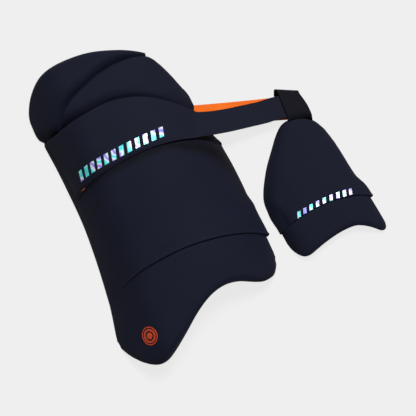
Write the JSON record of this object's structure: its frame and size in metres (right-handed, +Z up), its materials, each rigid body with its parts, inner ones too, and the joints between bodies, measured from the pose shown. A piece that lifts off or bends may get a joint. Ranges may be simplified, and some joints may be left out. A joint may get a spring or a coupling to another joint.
{
  "type": "thigh guard",
  "caption": "Padded sports thigh guard: a long curved outer guard with an overlapping hip cap, joined by a waist belt to a small inner guard hung on a loop.",
  "frame": {"origin": "on the floor under the middle of the bounding box of the whole guard", "axes": "+Y towards the wearer's waist along the outer guard, +Z up out of the guard's face, +X towards the inner guard"},
  "size_m": [0.399, 0.4322, 0.0763],
  "materials": {
    "pad_fabric": "matte knit",
    "belt_fabric": "matte brushed loop",
    "lining_fabric": "matte",
    "loop_webbing": "matte webbing",
    "badge_rubber": "satin"
  },
  "bodies": {
    "root": {"hip_cap": "pad_fabric", "hip_roll": "pad_fabric", "thigh_panel": "pad_fabric", "thigh_skirt": "pad_fabric", "inner_panel": "pad_fabric", "inner_skirt": "pad_fabric", "belt_outer": "belt_fabric", "belt_lining": "lining_fabric", "belt_loop": "loop_webbing", "round_badge": "badge_rubber"}
  },
  "joints": []
}
